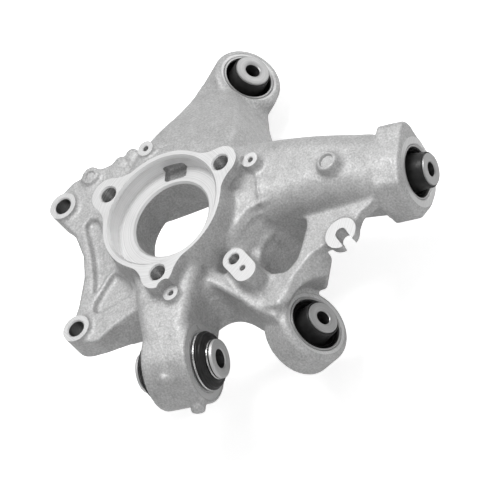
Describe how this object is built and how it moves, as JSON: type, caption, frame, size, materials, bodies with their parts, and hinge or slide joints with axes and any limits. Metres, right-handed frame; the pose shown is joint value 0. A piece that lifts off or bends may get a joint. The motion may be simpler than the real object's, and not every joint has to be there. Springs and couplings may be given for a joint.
{
  "type": "steering knuckle",
  "caption": "Cast aluminium rear suspension knuckle with a bored hub flange, caliper ears, bonded rubber bushes and a booted cross-axis ball joint.",
  "frame": {"origin": "centre of the hub bore on the machined flange face", "axes": "+Z is the wheel axis and points outboard; +Y passes through one flange bolt hole; forward on the car is 60 degrees from +X towards +Y, and upward is 150 degrees"},
  "size_m": [0.3627, 0.336, 0.1446],
  "materials": {
    "cast_aluminium": "shot-blasted casting",
    "black_rubber": "satin",
    "sleeve_steel": "turned and plated",
    "clamp_ring_steel": "bright spring wire",
    "race_plastic": "moulded"
  },
  "bodies": {
    "knuckle": {"knuckle_casting": "cast_aluminium", "camber_bush_outer_sleeve": "sleeve_steel", "camber_bush_rubber": "black_rubber", "toe_bush_outer_sleeve": "sleeve_steel", "toe_bush_rubber": "black_rubber", "link_bush_outer_sleeve": "sleeve_steel", "link_bush_rubber": "black_rubber", "joint_shell": "sleeve_steel", "closing_ring": "sleeve_steel", "ball_race": "race_plastic", "front_boot": "black_rubber", "rear_boot": "black_rubber", "front_large_ring": "clamp_ring_steel", "rear_large_ring": "clamp_ring_steel"},
    "camber_sleeve": {"camber_bush_inner_sleeve": "sleeve_steel"},
    "toe_sleeve": {"toe_bush_inner_sleeve": "sleeve_steel"},
    "link_sleeve": {"link_bush_inner_sleeve": "sleeve_steel"},
    "boot_rings": {"front_small_ring": "clamp_ring_steel", "rear_small_ring": "clamp_ring_steel"},
    "ball_sleeve": {"ball_sleeve": "sleeve_steel"}
  },
  "joints": [
    {"name": "camber_bush_twist", "type": "hinge", "parent": "knuckle", "child": "camber_sleeve", "pos_m": [-0.16381, 0.09227, -0.11], "axis": [0.3031, 0.7211, 0.623], "range_deg": [-15, 15], "stiffness_Nm_per_rad": 60},
    {"name": "toe_bush_twist", "type": "hinge", "parent": "knuckle", "child": "toe_sleeve", "pos_m": [0.0823, 0.17534, -0.0651], "axis": [0.54, 0.8413, -0.027], "range_deg": [-15, 15], "stiffness_Nm_per_rad": 60},
    {"name": "link_bush_twist", "type": "hinge", "parent": "knuckle", "child": "link_sleeve", "pos_m": [0.1305, 0.03343, -0.0875], "axis": [0.4256, 0.7951, 0.4322], "range_deg": [-15, 15], "stiffness_Nm_per_rad": 60},
    {"name": "ball_joint_tilt", "type": "hinge", "parent": "knuckle", "child": "boot_rings", "pos_m": [0.10314, -0.06416, -0.055], "axis": [-0.8378, 0.546, -0.0023], "range_deg": [-10, 10], "deforming": ["front_boot", "rear_boot"]},
    {"name": "ball_joint_spin", "type": "hinge", "parent": "boot_rings", "child": "ball_sleeve", "pos_m": [0.10314, -0.06416, -0.055], "axis": [0.5456, 0.837, -0.043], "continuous": true}
  ]
}
